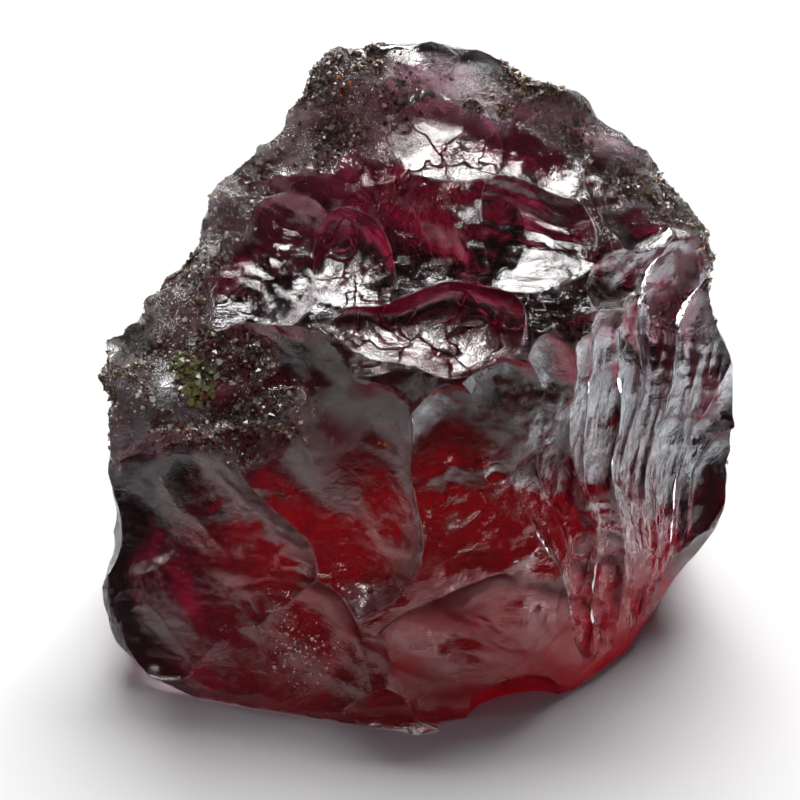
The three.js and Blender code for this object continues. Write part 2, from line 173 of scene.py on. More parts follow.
# %% List the scars
# name, at, facing, across, along, depth, bowl, flat, turn
SCARS = [
    # left half of the front
    ("shelf_hollow", (-6.6, -4.8, 3.9), (-0.30, -0.84, 0.46), 3.1, 4.1, 1.0, 3, 4, 0),
    ("tall_hollow", (-2.6, -4.9, 6.6), (-0.12, -0.85, 0.51), 2.6, 3.6, 0.6, 3.5, 3, 0),
    ("low_chip", (-3.6, -6.4, 2.0), (-0.15, -0.93, 0.34), 2.4, 2.4, 0.4, 3, 3, 10),
    ("window", (-6.9, -5.3, 1.9), (-0.45, -0.8, 0.38), 1.7, 1.7, 0.5, 2, 3, 0),
    ("dimple_a", (-4.4, -4.9, 4.0), (-0.35, -0.78, 0.52), 1.3, 1.7, 0.25, 5, 2, 20),
    ("dimple_b", (-3.5, -4.1, 6.4), (-0.3, -0.8, 0.52), 1.5, 1.3, 0.25, 5, 2, -15),
    ("dimple_c", (-7.4, -3.3, 4.1), (-0.45, -0.75, 0.48), 1.2, 1.5, 0.25, 5, 2, 0),
    # left side
    ("left_strip", (-9.1, -2.4, 4.2), (-0.92, -0.38, 0.1), 1.5, 3.6, 0.5, 4, 2, 0),
    ("left_low", (-8.5, -0.4, 4.6), (-0.95, 0.2, 0.1), 2.8, 4.0, 0.6, 4, 2, 0),
    ("left_rear_high", (-7.4, 1.8, 8.6), (-0.75, 0.5, 0.42), 3.2, 3.6, 0.6, 4, 2, 0),
    ("left_rear_low", (-7.3, 2.4, 3.4), (-0.75, 0.6, 0.3), 2.8, 3.2, 0.6, 4, 2, 0),
    ("splinter", (-2.3, -6.6, 2.6), (0.1, -0.9, 0.42), 0.8, 1.6, 0.3, 2.5, 2, 25),
    ("gouge", (-5.2, -6.0, 1.3), (-0.3, -0.85, 0.42), 1.6, 1.5, 0.3, 4, 2, 0),
    ("nick", (-1.5, -6.9, 2.2), (-0.1, -0.95, 0.3), 1.0, 1.2, 0.3, 2, 2, -30),
    # right half of the front
    ("front_shell", (2.9, -5.1, 7.2), (0.16, -0.84, 0.52), 3.5, 3.5, 0.5, 4, 3, 0),
    ("front_foot", (1.7, -6.8, 2.3), (0.14, -0.98, 0.12), 3.0, 2.5, 0.35, 2, 4, 0),
    ("round_pit", (2.4, -4.5, 7.5), (0.16, -0.84, 0.52), 0.4, 0.4, 0.2, 1.4, 2, 0),
    ("shell_lip", (1.6, -5.4, 6.6), (0.0, -0.8, 0.6), 1.6, 2.4, 0.3, 5, 2, 15),
    ("petal", (3.6, -3.9, 9.0), (0.35, -0.82, 0.45), 0.9, 2.1, 0.4, 2.5, 2, -12),
    ("arched_edge", (2.7, -6.4, 0.4), (0.35, -0.85, -0.4), 1.4, 0.9, 0.5, 2, 2, 0),
    ("base_lip", (-0.9, -7.4, 0.9), (-0.1, -0.98, -0.1), 2.0, 0.8, 0.35, 2, 2, 0),
    # top slope
    ("slope_skin", (-5.6, -0.4, 12.0), (-0.34, -0.58, 0.74), 3.2, 4.6, 0.35, 5, 2, -35),
    ("pink_bowl", (-4.1, -0.9, 12.1), (-0.28, -0.62, 0.73), 2.5, 2.8, 0.75, 3, 2, 0),
    ("slope_foot", (-6.6, -2.0, 10.4), (-0.4, -0.55, 0.73), 2.2, 1.9, 0.4, 3, 2, 0),
    ("shelf_top", (-4.2, -3.0, 9.2), (-0.2, -0.7, 0.69), 2.2, 1.6, 0.45, 3, 2, 0),
    ("dark_spot", (-3.2, 1.8, 14.8), (-0.3, -0.6, 0.74), 1.2, 0.9, 0.4, 2.5, 2, 0),
    ("under_apex", (-1.4, 1.4, 14.9), (-0.12, -0.6, 0.79), 2.0, 1.9, 0.4, 4, 2, 0),
    ("ledge_arm", (-1.9, -1.9, 12.0), (-0.1, -0.4, 0.91), 1.3, 2.7, 0.6, 1.5, 4, 18),
    ("ledge", (0.2, -2.8, 11.0), (-0.02, -0.36, 0.93), 3.0, 1.5, 0.45, 1.8, 4, 8),
    ("ripple_outer", (1.8, -1.8, 13.1), (0.04, -0.57, 0.82), 3.3, 3.4, 0.65, 4, 2, 0),
    ("ripple_inner", (2.9, -1.1, 13.3), (0.1, -0.56, 0.82), 2.0, 2.3, 0.75, 2.5, 2, 0),
    ("cracked_step", (0.9, 1.0, 15.1), (-0.03, -0.38, 0.92), 2.1, 1.6, 0.6, 1.5, 4, 0),
    ("grey_flat", (3.6, 1.1, 14.9), (0.2, -0.5, 0.84), 1.9, 1.7, 0.45, 2.5, 3, 0),
    ("crest_bowl", (6.1, 0.6, 13.6), (0.45, -0.44, 0.78), 1.6, 2.1, 0.5, 3, 2, 0),
    ("black_hollow", (6.2, -1.4, 12.3), (0.42, -0.58, 0.7), 2.3, 1.4, 0.5, 2.5, 2, -20),
    ("apex_flat", (-0.4, 3.2, 16.8), (0.02, -0.25, 0.97), 1.5, 0.8, 0.3, 1.6, 4, 0),
    ("apex_front", (1.6, 2.6, 16.3), (0.05, -0.5, 0.86), 2.0, 1.1, 0.3, 3, 2, 0),
    ("crest_right", (7.4, 1.2, 12.9), (0.6, -0.3, 0.74), 1.6, 1.8, 0.35, 3, 2, 0),
    # right side
    ("fan_ground", (7.0, -2.8, 6.0), (0.68, -0.72, 0.12), 3.6, 6.4, 0.6, 5, 2, 0),
    ("undercut", (7.6, -2.2, 1.8), (0.8, -0.5, -0.35), 1.6, 1.7, 0.5, 2.5, 2, 0),
    ("right_side", (8.9, 1.4, 6.4), (0.97, 0.2, 0.1), 2.7, 3.9, 0.4, 5, 2, 0),
    ("right_high", (8.4, 2.2, 10.6), (0.8, 0.3, 0.5), 2.6, 2.6, 0.5, 4, 2, 0),
    ("right_low", (7.9, 2.4, 2.6), (0.88, 0.4, 0.1), 2.6, 2.8, 0.5, 4, 2, 0),
    # rear
    ("rear_shell_left", (-2.4, 6.5, 5.0), (-0.22, 0.83, 0.5), 3.6, 4.2, 1.0, 3, 3, 0),
    ("rear_shell_right", (3.6, 6.1, 5.4), (0.28, 0.82, 0.5), 3.6, 4.4, 1.0, 3, 3, 0),
    ("rear_corner", (-6.0, 4.6, 3.6), (-0.5, 0.75, 0.42), 2.4, 2.8, 0.5, 3, 2, 0),
    ("rear_low", (0.8, 7.5, 1.6), (0.05, 0.97, 0.2), 3.0, 1.5, 0.3, 3, 2, 0),
    ("rear_mid", (-3.4, 4.9, 9.6), (-0.4, 0.85, 0.35), 3.0, 2.6, 0.5, 4, 2, 0),
    ("rear_high", (0.9, 5.2, 12.6), (0.05, 0.93, 0.35), 3.0, 3.0, 0.5, 4, 2, 0),
    ("rear_right", (5.6, 4.3, 11.6), (0.45, 0.75, 0.48), 2.6, 2.8, 0.5, 4, 2, 0),
    ("rear_slope", (-4.6, 3.7, 12.4), (-0.6, 0.6, 0.52), 2.6, 2.8, 0.5, 4, 2, 0),
]
print("scars:", len(SCARS))

# %% [markdown]
# ## The flutes
# The right side broke in a fan of narrow grooves that spread upward from the lower front corner.
# They are long scars side by side, narrower at the foot than at the head.

# %% List the flutes
FLUTE_BOWL = 2.5
FLUTE_FLAT = 2
FLUTE_TAPER = 0.6
# foot, head, width, depth
FAN_FACING = (0.66, -0.73, 0.14)
FLUTES = [
    ((4.4, -5.0, 2.6), (3.2, -4.3, 8.0), 0.55, 0.35),
    ((4.7, -4.9, 0.9), (4.0, -3.7, 9.2), 0.65, 0.4),
    ((5.0, -4.7, 1.9), (4.7, -3.1, 10.6), 0.6, 0.4),
    ((5.2, -4.4, 0.8), (5.5, -2.5, 11.5), 0.8, 0.45),
    ((5.8, -3.9, 1.4), (6.3, -1.6, 11.9), 0.55, 0.4),
    ((5.9, -3.6, 0.7), (7.4, -0.4, 12.2), 0.9, 0.5),
    ((6.3, -3.2, 1.5), (8.5, 0.5, 10.4), 0.8, 0.45),
    ((6.6, -3.0, 1.1), (9.1, 0.1, 7.6), 0.6, 0.35),
    ((6.9, -2.7, 2.0), (9.3, -0.4, 5.4), 0.6, 0.35),
]
print("flutes:", len(FLUTES))

# %% [markdown]
# ## A ball to cut with
# Each scar is cut by a stretched ball, sunk into the face until its rim has the right size. Only
# the lowest part of the ball touches the stone, so its points are crowded down there: the cut
# surface gets a fine mesh and the rest of the ball costs little.

# %% Shape the cutting ball
def unit(v):
    v = np.asarray(v, float)
    return v / np.linalg.norm(v)


POLE_SHIFT = 0.5


def unit_ball(subdivisions):
    """Points and triangles of a ball of radius 1, its points crowded towards the low pole."""
    bm = bmesh.new()
    bmesh.ops.create_icosphere(bm, subdivisions=subdivisions, radius=1.0)
    points = np.array([v.co for v in bm.verts])
    triangles = np.array([[v.index for v in f.verts] for f in bm.faces])
    bm.free()
    points[:, 2] -= POLE_SHIFT
    return points / np.linalg.norm(points, axis=1)[:, None], triangles


COARSE, MIDDLING, FINE = 4, 5, 6
BALLS = {level: unit_ball(level) for level in (COARSE, MIDDLING, FINE)}
SMALL, LARGE = 1.2, 3.5


def soft_ball(size, flat, taper):
    """A ball with flattened ends, finer if it is large, and narrower towards -Y if it has a taper."""
    ball, triangles = BALLS[FINE if size > LARGE else MIDDLING if size > SMALL else COARSE]
    radius = np.linalg.norm(ball[:, :2], axis=1)
    ball = ball / ((radius ** flat + np.abs(ball[:, 2]) ** flat) ** (1 / flat))[:, None]
    narrow = 1 + taper * ball[:, 1]
    return ball * np.stack([narrow, np.ones_like(narrow), narrow], axis=1), triangles


report("points in the balls:", [len(points) for points, _ in BALLS.values()])

# %% [markdown]
# ## Where the blow fell
# A broken face often shows rings, like ripples round a stone thrown in water, centred on the place
# that was struck. The cutter writes two attributes for the material to read: the number of its
# scar, and the distance in millimetres from that place. Attributes survive the cut, so the rings
# can follow each scar exactly.

# %% Make one cutter
STRIKE_PLACE = np.array([0.35, 0.9, 0.2])
FIRST_FLUTE_NUMBER = 100


def sunken_ball(name, number, at, axes, across, along, depth, bowl, flat, taper=0.0):
    """The ball whose sunken end leaves a rim of half sizes across and along at the given depth."""
    height = (bowl - 1) / bowl
    rim_share = (1 - height ** flat) ** (1 / flat)
    radii = np.array([across / rim_share, along / rim_share, depth * bowl])
    ball, triangles = soft_ball(max(radii), flat, taper)
    centre = np.asarray(at) + axes[2] * (radii[2] - depth)
    points = centre + (ball * radii) @ axes
    away = np.linalg.norm(points - (centre + (STRIKE_PLACE * radii) @ axes), axis=1)
    mesh = bpy.data.meshes.new(name)
    mesh.from_pydata(points.tolist(), [], triangles.tolist())
    scar = mesh.attributes.new("scar", "INT", "FACE")
    scar.data.foreach_set("value", np.full(len(triangles), number, np.int32))
    strike = mesh.attributes.new("strike", "FLOAT", "CORNER")
    strike.data.foreach_set("value", away[triangles].ravel().astype(np.float32))
    return bpy.data.objects.new(name, mesh)


def scar_cutter(number, name, at, facing, across, along, depth, bowl, flat, turn):
    out = unit(facing)
    side = unit(np.cross((0, 0, 1), out))
    up = np.cross(out, side)
    c, s = math.cos(math.radians(turn)), math.sin(math.radians(turn))
    axes = np.array([side * c + up * s, up * c - side * s, out])
    return sunken_ball(name, number, at, axes, across, along, depth, bowl, flat)


def flute_cutter(number, foot, head, width, depth):
    foot, head = np.array(foot), np.array(head)
    up = unit(head - foot)
    side = unit(np.cross(up, FAN_FACING))
    axes = np.array([side, up, np.cross(side, up)])
    half_length = np.linalg.norm(head - foot) / 2
    return sunken_ball(f"flute_{number}", FIRST_FLUTE_NUMBER + number, (foot + head) / 2, axes,
                       width, half_length, depth, FLUTE_BOWL, FLUTE_FLAT, FLUTE_TAPER)


cutters = bpy.data.collections.new("cutters")
for number, row in enumerate(SCARS, 1):
    cutters.objects.link(scar_cutter(number, *row))
for number, row in enumerate(FLUTES, 1):
    cutters.objects.link(flute_cutter(number, *row))
report("cutters:", len(cutters.objects))

# %% [markdown]
# ## Knock the chips off
# A Boolean modifier takes a whole collection of cutters away at once. The manifold solver is the
# quick one, and it needs closed meshes, which the hull and the balls are. Sculpting or a
# displacement map couldn't give the sharp ridges that stay where two scars meet.

# %% Cut
block.attributes.new("scar", "INT", "FACE")
block.attributes.new("strike", "FLOAT", "CORNER")
stone = bpy.data.objects.new("crystal", block)
bpy.context.scene.collection.objects.link(stone)
bpy.context.scene.collection.children.link(cutters)
cut = stone.modifiers.new("scars", "BOOLEAN")
cut.operation = "DIFFERENCE"
cut.operand_type = "COLLECTION"
cut.collection = cutters
cut.solver = "MANIFOLD"
shown = stone.evaluated_get(bpy.context.evaluated_depsgraph_get())
carved = bpy.data.meshes.new_from_object(shown)
stone.modifiers.clear()
stone.data = carved
for cutter in list(cutters.objects):
    bpy.data.meshes.remove(cutter.data)
bpy.data.collections.remove(cutters)
report("carved:", len(carved.polygons), "faces")

# %% [markdown]
# ## Only the stone
# Where two scars meet behind an edge, a loose splinter can be left in the air. The largest
# connected body is the stone, and the others are swept away.

# %% Keep the largest body
def keep_largest_body(mesh):
    """Delete all but the largest connected part, and return how many parts there were."""
    bm = bmesh.new()
    bm.from_mesh(mesh)
    bmesh.ops.triangulate(bm, faces=bm.faces)
    seen = set()
    bodies = []
    for seed in bm.verts:
        if seed.index in seen:
            continue
        seen.add(seed.index)
        body = [seed]
        for v in body:
            for edge in v.link_edges:
                neighbour = edge.other_vert(v)
                if neighbour.index not in seen:
                    seen.add(neighbour.index)
                    body.append(neighbour)
        bodies.append(body)
    bodies.sort(key=len)
    for body in bodies[:-1]:
        bmesh.ops.delete(bm, geom=body, context="VERTS")
    bm.to_mesh(mesh)
    bm.free()
    return len(bodies)


report("bodies found:", keep_largest_body(carved))

# %% [markdown]
# ## Working with all points at once
# A Python loop over a hundred thousand points is slow. foreach_get copies them all into a numpy
# array in one go, the formulas run on the whole array, and foreach_set copies the result back.

# %% Points in and out
def array_of(data, field, width, kind=np.float32):
    values = np.empty(len(data) * width, kind)
    data.foreach_get(field, values)
    return values.reshape(-1, width) if width > 1 else values


def place_in_box(points):
    """Move and stretch points in mm a hair, so that they have exactly the stated outside size."""
    low, high = points.min(0), points.max(0)
    middle = [(low[0] + high[0]) / 2, (low[1] + high[1]) / 2, low[2]]
    return (points - middle) * SIZE_MM / (high - low)


def store(mesh, points):
    mesh.vertices.foreach_set("co", (points * MM).astype(np.float32).ravel())
    mesh.update()


def store_share(mesh, name, values):
    mesh.attributes.new(name, "FLOAT", "POINT").data.foreach_set("value", values.astype(np.float32))


print("points:", len(carved.vertices))

# %% [markdown]
# ## A slow swelling
# No natural face is perfectly flat and no rim is a perfect oval. A sum of slow waves bends them all
# a little. It dies out at the base, so that the stone still stands flat.

# %% Swell the stone
def swell(p):
    x, y, z = p.T
    share = np.clip(z / 2, 0, 1)
    q = p.copy()
    q[:, 0] += share * (0.16 * np.sin(1.1 * z + 0.7 * y) + 0.08 * np.sin(2.3 * y - 1.7 * z + 1.0))
    q[:, 1] += share * (0.16 * np.sin(1.2 * x - 0.8 * z + 2.0) + 0.08 * np.sin(2.1 * z + 1.9 * x))
    q[:, 2] += share * (0.16 * np.sin(0.9 * x + 1.1 * y + 0.5) + 0.08 * np.sin(2.2 * x - 1.8 * y + 3.0))
    return q


points = place_in_box(swell(array_of(carved.vertices, "co", 3).astype(float)))
store(carved, points)
edge_ends = points[array_of(carved.edges, "vertices", 2, np.int32)]
report("middling edge in mm:", np.median(np.linalg.norm(edge_ends[:, 0] - edge_ends[:, 1], axis=1)).round(3))

# %% [markdown]
# ## Noise of our own
# The next steps need random but smooth values at any point of space. Value noise gives each corner
# of a grid a random number and blends between them. The seed fixes the numbers for good.

# %% Value noise
TABLE_SIZE = 4096


def table_place(cell):
    """A scrambled place in the table of random numbers for each whole-number grid cell."""
    scrambled = (cell[:, 0] * 73856093) ^ (cell[:, 1] * 19349663) ^ (cell[:, 2] * 83492791)
    return scrambled & (TABLE_SIZE - 1)


def value_noise(p, wavelength, seed):
    """Smooth random values between -1 and 1, with bumps about one wavelength across."""
    rng = np.random.default_rng(seed)
    table = rng.uniform(-1, 1, TABLE_SIZE)
    q = p / wavelength + rng.uniform(0, 100, 3)
    cell = np.floor(q).astype(np.int64)
    t = q - cell
    t = t * t * t * (t * (t * 6 - 15) + 10)
    total = np.zeros(len(p))
    for corner in np.ndindex(2, 2, 2):
        weight = np.prod(np.where(np.array(corner) == 1, t, 1 - t), axis=1)
        total += weight * table[table_place(cell + corner)]
    return total


def rough_noise(p, wavelength, octaves, seed):
    """Noise on noise: each octave is half as wide and half as strong as the one before."""
    return sum(value_noise(p, wavelength / 2 ** k, seed + k) / 2 ** k for k in range(octaves))


print("noise spread:", value_noise(points, 1.0, 1).std().round(2))

# %% [markdown]
# ## Small shells
# Between the large scars a broken garnet is covered with small ones. Cutting thousands of them
# would be slow. Cell noise does the same in one formula: the squared distance to the nearest of
# many scattered centres is a bowl round each centre, with a sharp rim where two bowls meet.

# %% Shell noise
def small_shells(p, size, seed):
    """Bowls with sharp rims between them: near 0 on the rims and -1 in the deepest bowls."""
    rng = np.random.default_rng(seed)
    table = rng.random((TABLE_SIZE, 4))
    q = p / size + rng.uniform(0, 100, 3)
    cell = np.floor(q).astype(np.int64)
    best = np.full(len(p), 9.0)
    for step in np.ndindex(3, 3, 3):
        neighbour = cell + np.array(step) - 1
        row = table[table_place(neighbour)]
        away = q - (neighbour + row[:, :3])
        best = np.minimum(best, np.sum(away ** 2, axis=1) + 0.5 * row[:, 3])
    return np.clip(best, 0, 1) - 1


print("shell depth:", small_shells(points, 1.5, 72).min().round(2))

# %% [markdown]
# ## The crust
# Part of the outside is old: a dull brown crust that was the stone's skin before it broke. It runs
# along the upper left edge, over the shelf below it, round the apex and along the crest. It could
# be painted by hand. Paths with a radius say the same in a few numbers, and noise makes the border
# ragged and the crust patchy.

# %% Where the crust lies
CRUST_PATHS = [
    ([(-9.2, -2.2, 8.8), (-8.0, -0.8, 10.6), (-6.6, 1.0, 12.4), (-5.0, 2.4, 14.0),
      (-3.4, 3.4, 15.6), (-2.0, 3.6, 16.7)], 1.3),
    ([(-9.2, -2.0, 8.2), (-7.2, -2.7, 7.7), (-5.2, -3.1, 7.8), (-3.8, -3.2, 8.6)], 1.2),
    ([(-7.6, -1.6, 9.9), (-6.0, -2.2, 9.6), (-4.6, -2.4, 9.8)], 0.8),
    ([(-3.4, 1.8, 14.9), (-1.4, 2.0, 15.4), (1.0, 3.0, 16.4), (2.6, 3.0, 16.2)], 1.1),
    ([(3.0, 3.0, 16.2), (5.2, 2.0, 14.9), (7.4, 1.4, 13.0), (8.8, 1.3, 11.3)], 0.8),
    ([(-6.4, 2.6, 10.0), (-3.5, 4.8, 11.5), (1.0, 5.4, 13.0), (5.0, 4.4, 12.4), (7.8, 2.8, 10.4)], 2.6),
    ([(7.6, 4.0, 4.4), (8.6, 2.6, 6.6), (8.4, 2.4, 8.6)], 1.4),
]


def distance_to_path(p, path):
    best = np.full(len(p), 1e9)
    for start, end in zip(np.array(path[:-1]), np.array(path[1:])):
        along = np.clip((p - start) @ (end - start) / np.sum((end - start) ** 2), 0, 1)
        best = np.minimum(best, np.linalg.norm(p - (start + along[:, None] * (end - start)), axis=1))
    return best


def crust_share(p):
    share = np.zeros(len(p))
    ragged = 0.35 * rough_noise(p, 1.6, 3, 11)
    for path, radius in CRUST_PATHS:
        share = np.maximum(share, np.clip((1.15 + ragged - distance_to_path(p, path) / radius) / 0.35, 0, 1))
    return share * np.clip(0.85 + 1.3 * rough_noise(p, 1.3, 2, 12), 0.25, 1)


crust = crust_share(points)
store_share(carved, "crust", crust)
report("share under crust:", crust.mean().round(3))

# %% [markdown]
# ## Which scar is which
# Some scars have a look of their own. The bright ledges are smooth and cracked, and two of the
# bowls are rippled. The scar attribute tells which points lie on them.

# %% Find the points of a scar
LEDGES = ("ledge", "ledge_arm", "cracked_step", "apex_flat")
RIPPLED = ("ripple_inner", "crest_bowl")
QUIET = ("ripple_inner", "crest_bowl", "pink_bowl")
triangles = array_of(carved.polygons, "vertices", 3, np.int32)
scar_of_face = np.empty(len(triangles), np.int32)
carved.attributes["scar"].data.foreach_get("value", scar_of_face)


def scar_number(name):
    return [row[0] for row in SCARS].index(name) + 1


def on_scars(names):
    """1 for the points inside the named scars, 0 for all others."""
    elsewhere = ~np.isin(scar_of_face, [scar_number(name) for name in names])
    share = np.ones(len(points))
    share[triangles[elsewhere].ravel()] = 0
    return share


ledge_share = on_scars(LEDGES)
quiet_share = on_scars(QUIET)
print("points on ledges:", int(ledge_share.sum()))

# %% [markdown]
# ## Raise and sink the surface
# Now the relief that catches the light: grains, pits and crags under the crust, small shells on
# the broken faces, and fine combed lines along the fan. All of it is real geometry. A bump map
# alone would leave the outline and the ridges smooth.

# %% Relief of the crust and the broken faces
crags = np.abs(rough_noise(points, 0.8, 3, 51))
pits = np.clip(rough_noise(points, 0.7, 2, 31) - 0.35, 0, 1)
lift = crust * (0.2 * rough_noise(points, 1.1, 4, 21) - 0.3 * pits - 0.22 * crags)
lift += (1 - crust) * 0.02 * rough_noise(points, 1.4, 3, 41)

MEAN_SHELL = 0.55
broken = np.clip(0.5 + 1.3 * rough_noise(points, 3.0, 2, 71), 0.2, 1)
broken *= (1 - 0.75 * ledge_share) * (1 - 0.6 * quiet_share)
lift += broken * 0.5 * (small_shells(points, 1.6, 72) + MEAN_SHELL)
lift += broken * 0.16 * (small_shells(points, 0.75, 73) + MEAN_SHELL)
hackly = np.clip(0.3 + 1.5 * rough_noise(points, 2.2, 2, 75), 0, 1) * (1 - 0.5 * quiet_share)
lift += hackly * 0.07 * (small_shells(points, 0.38, 76) + MEAN_SHELL)
report("relief in mm, from", lift.min().round(2), "to", lift.max().round(2))

# %% Combed lines along the fan
FAN_MIDDLE = np.array([6.4, -2.7, 6.0])
FAN_HALF_SIZES = np.array([3.4, 6.4, 2.4])
fan_side = unit(np.cross((0.25, 0.25, 0.95), FAN_FACING))
fan_up = unit(np.cross(FAN_FACING, fan_side))
fan_axes = np.array([fan_side, fan_up, unit(FAN_FACING)])
reach = np.linalg.norm((points - FAN_MIDDLE) @ fan_axes.T / FAN_HALF_SIZES, axis=1)
in_fan = np.clip((1.1 - reach) / 0.25, 0, 1)
stretched = (points @ fan_axes.T) / np.array([1, 6, 1])
lift += in_fan * 0.1 * (0.3 - np.abs(rough_noise(stretched, 0.55, 3, 81)))
print("points on the fan:", int((in_fan > 0.5).sum()))

# %% [markdown]
# ## Apply the relief
# Each point moves along its normal. The lift is capped, so that nothing grows past the outside
# size, and it fades out towards the base, which has to stay flat.

# %% Move the points
DEEPEST, HIGHEST = -0.5, 0.1
FADE_HEIGHT = 0.8
SHARP_ANGLE = math.radians(20)
normals = array_of(carved.vertices, "normal", 3).astype(float)
fade = np.clip(points[:, 2] / FADE_HEIGHT, 0, 1)
surface = place_in_box(points + normals * (np.clip(lift, DEEPEST, HIGHEST) * fade)[:, None])
store(carved, surface)
carved.set_sharp_from_angle(angle=SHARP_ANGLE)
report("outside size in mm:", (surface.max(0) - surface.min(0)).round(2))

# %% [markdown]
# ## Worn rims
# Glassy edges chip first, so the sharp ridges of a broken stone are frosted and show as pale lines.
# The bend between two neighbouring triangles tells where a ridge is, and the order of their
# middles tells whether it folds outward.

# %% Find the ridges
def ridge_share(corners, place, least_angle):
    """1 where the surface folds outward far more sharply than the least angle, 0 below it."""
    a, b, c = (place[corners[:, k]] for k in range(3))
    facing = np.cross(b - a, c - a)
    facing /= np.maximum(np.linalg.norm(facing, axis=1), 1e-12)[:, None]
    middle = (a + b + c) / 3
    pairs = np.sort(np.concatenate([corners[:, [0, 1]], corners[:, [1, 2]], corners[:, [2, 0]]]), axis=1)
    owner = np.tile(np.arange(len(corners)), 3)
    order = np.lexsort((pairs[:, 1], pairs[:, 0]))
    pairs, owner = pairs[order], owner[order]
    twin = np.flatnonzero(np.all(pairs[1:] == pairs[:-1], axis=1))
    one, other = owner[twin], owner[twin + 1]
    bend = np.arccos(np.clip(np.sum(facing[one] * facing[other], axis=1), -1, 1))
    outward = np.sum(facing[one] * (middle[other] - middle[one]), axis=1) < 0
    strength = np.clip((bend / least_angle - 1) * 2, 0, 1) * outward
    share = np.zeros(len(place))
    np.maximum.at(share, pairs[twin].ravel(), np.repeat(strength, 2))
    return share


RIDGE_ANGLE = math.radians(28)
rim = ridge_share(triangles, surface, RIDGE_ANGLE)
store_share(carved, "rim", rim)
report("share on ridges:", rim.mean().round(3))

# %% [markdown]
# ## Fewer triangles on the flattest parts
# The Boolean leaves more triangles than the stone needs. A Decimate modifier merges neighbours
# where the surface is nearly flat, so the relief stays and the piece has fewer than 200,000.

# %% Thin the mesh
KEPT_TRIANGLES = 0.88
thin = stone.modifiers.new("thin", "DECIMATE")
thin.ratio = KEPT_TRIANGLES
thinned = stone.evaluated_get(bpy.context.evaluated_depsgraph_get()).data
report("triangles after thinning:", len(thinned.polygons))

# %% [markdown]
# ## Nodes with less typing
# The stone's material is a sum of small patterns. This helper adds one node and wires its inputs in
# one line: numbers are typed into the socket and other nodes' outputs are linked to it.

# %% A small helper for shader nodes
class Nodes:
    def __init__(self, name):
        self.material = bpy.data.materials.new(name)
        self.material.use_nodes = True
        self.tree = self.material.node_tree
        self.shader = self.tree.nodes["Principled BSDF"]
        self.place = self.tree.nodes.new("ShaderNodeTexCoord").outputs["Object"]

    def wire(self, value, socket):
        if isinstance(value, bpy.types.NodeSocket):
            self.tree.links.new(value, socket)
        else:
            socket.default_value = value

    def attribute(self, name):
        node = self.tree.nodes.new("ShaderNodeAttribute")
        node.attribute_name = name
        return node.outputs["Fac"]

    def math(self, kind, *values):
        node = self.tree.nodes.new("ShaderNodeMath")
        node.operation = kind
        for value, socket in zip(values, node.inputs):
            self.wire(value, socket)
        return node.outputs[0]

    def mix(self, share, a, b):
        return self.math("MULTIPLY_ADD", share, self.math("SUBTRACT", b, a), a)

    def spread(self, value, low_in, high_in, low_out, high_out):
        node = self.tree.nodes.new("ShaderNodeMapRange")
        for number, key in zip((value, low_in, high_in, low_out, high_out),
                               ("Value", "From Min", "From Max", "To Min", "To Max")):
            self.wire(number, node.inputs[key])
        return node.outputs["Result"]

    def noise(self, size_mm, detail, roughness=0.5, distortion=0.0, output="Fac"):
        node = self.tree.nodes.new("ShaderNodeTexNoise")
        self.tree.links.new(self.place, node.inputs["Vector"])
        node.inputs["Scale"].default_value = 1 / (size_mm * MM)
        node.inputs["Detail"].default_value = detail
        node.inputs["Roughness"].default_value = roughness
        node.inputs["Distortion"].default_value = distortion
        return node.outputs[output]


garnet = Nodes("deep_red_garnet")
print("material:", garnet.material.name)

# %% [markdown]
# ## The body colour
# Garnet is clear: its red is not on the surface but in the depth. So the surface lets all light
# through, bent by garnet's high index, and the inside absorbs it. Red is absorbed slowly, blue
# faster and green fastest, so thin edges are pale and thick places go from crimson to black.
# Scattering haze inside was the other way, but it would hide how clear the stone is.

# %% Index and absorption
garnet.shader.inputs["IOR"].default_value = 1.76
garnet.shader.inputs["Transmission Weight"].default_value = 1.0
dye = garnet.tree.nodes.new("ShaderNodeVolumeAbsorption")
dye.inputs["Color"].default_value = (0.765, 0.22, 0.47, 1)
dye.inputs["Density"].default_value = 1000.0
garnet.tree.links.new(dye.outputs["Volume"], garnet.tree.nodes["Material Output"].inputs["Volume"])
per_mm = [dye.inputs["Density"].default_value * (1 - c) * MM for c in dye.inputs["Color"].default_value[:3]]
print("absorbed per mm, red, green, blue:", [round(value, 2) for value in per_mm])

# %% [markdown]
# ## Rings
# Rings run round the place of the blow, about half a millimetre apart. A sine of the strike
# distance makes them, noise bends them, and they are strongest in the rippled bowls.

# %% Rings in the scars
RINGS_PER_MM = 2.2
scar_fac = garnet.attribute("scar")


def scar_mask(names):
    total = 0
    for name in names:
        total = garnet.math("ADD", garnet.math("COMPARE", scar_fac, scar_number(name), 0.5), total)
    return total


turns = garnet.math("MULTIPLY", garnet.attribute("strike"), RINGS_PER_MM)
turns = garnet.math("MULTIPLY_ADD", garnet.noise(2.5, 3), 3.0, turns)
rings = garnet.math("SINE", garnet.math("MULTIPLY", turns, math.tau))
strength = garnet.spread(garnet.noise(3.0, 2), 0.45, 0.65, 0.0, 1.0)
strength = garnet.math("MULTIPLY_ADD", scar_mask(RIPPLED), 1.5, strength)
rings = garnet.math("MULTIPLY", rings, strength)
print("ring spacing in mm:", round(1 / RINGS_PER_MM, 2))

# %% [markdown]
# ## Cracks on the ledges
# The flat ledges are crossed by dark cracks. The distance to the edge of Voronoi cells is zero on
# a net of lines. Noise bends the net, so that it looks broken and not like a honeycomb.

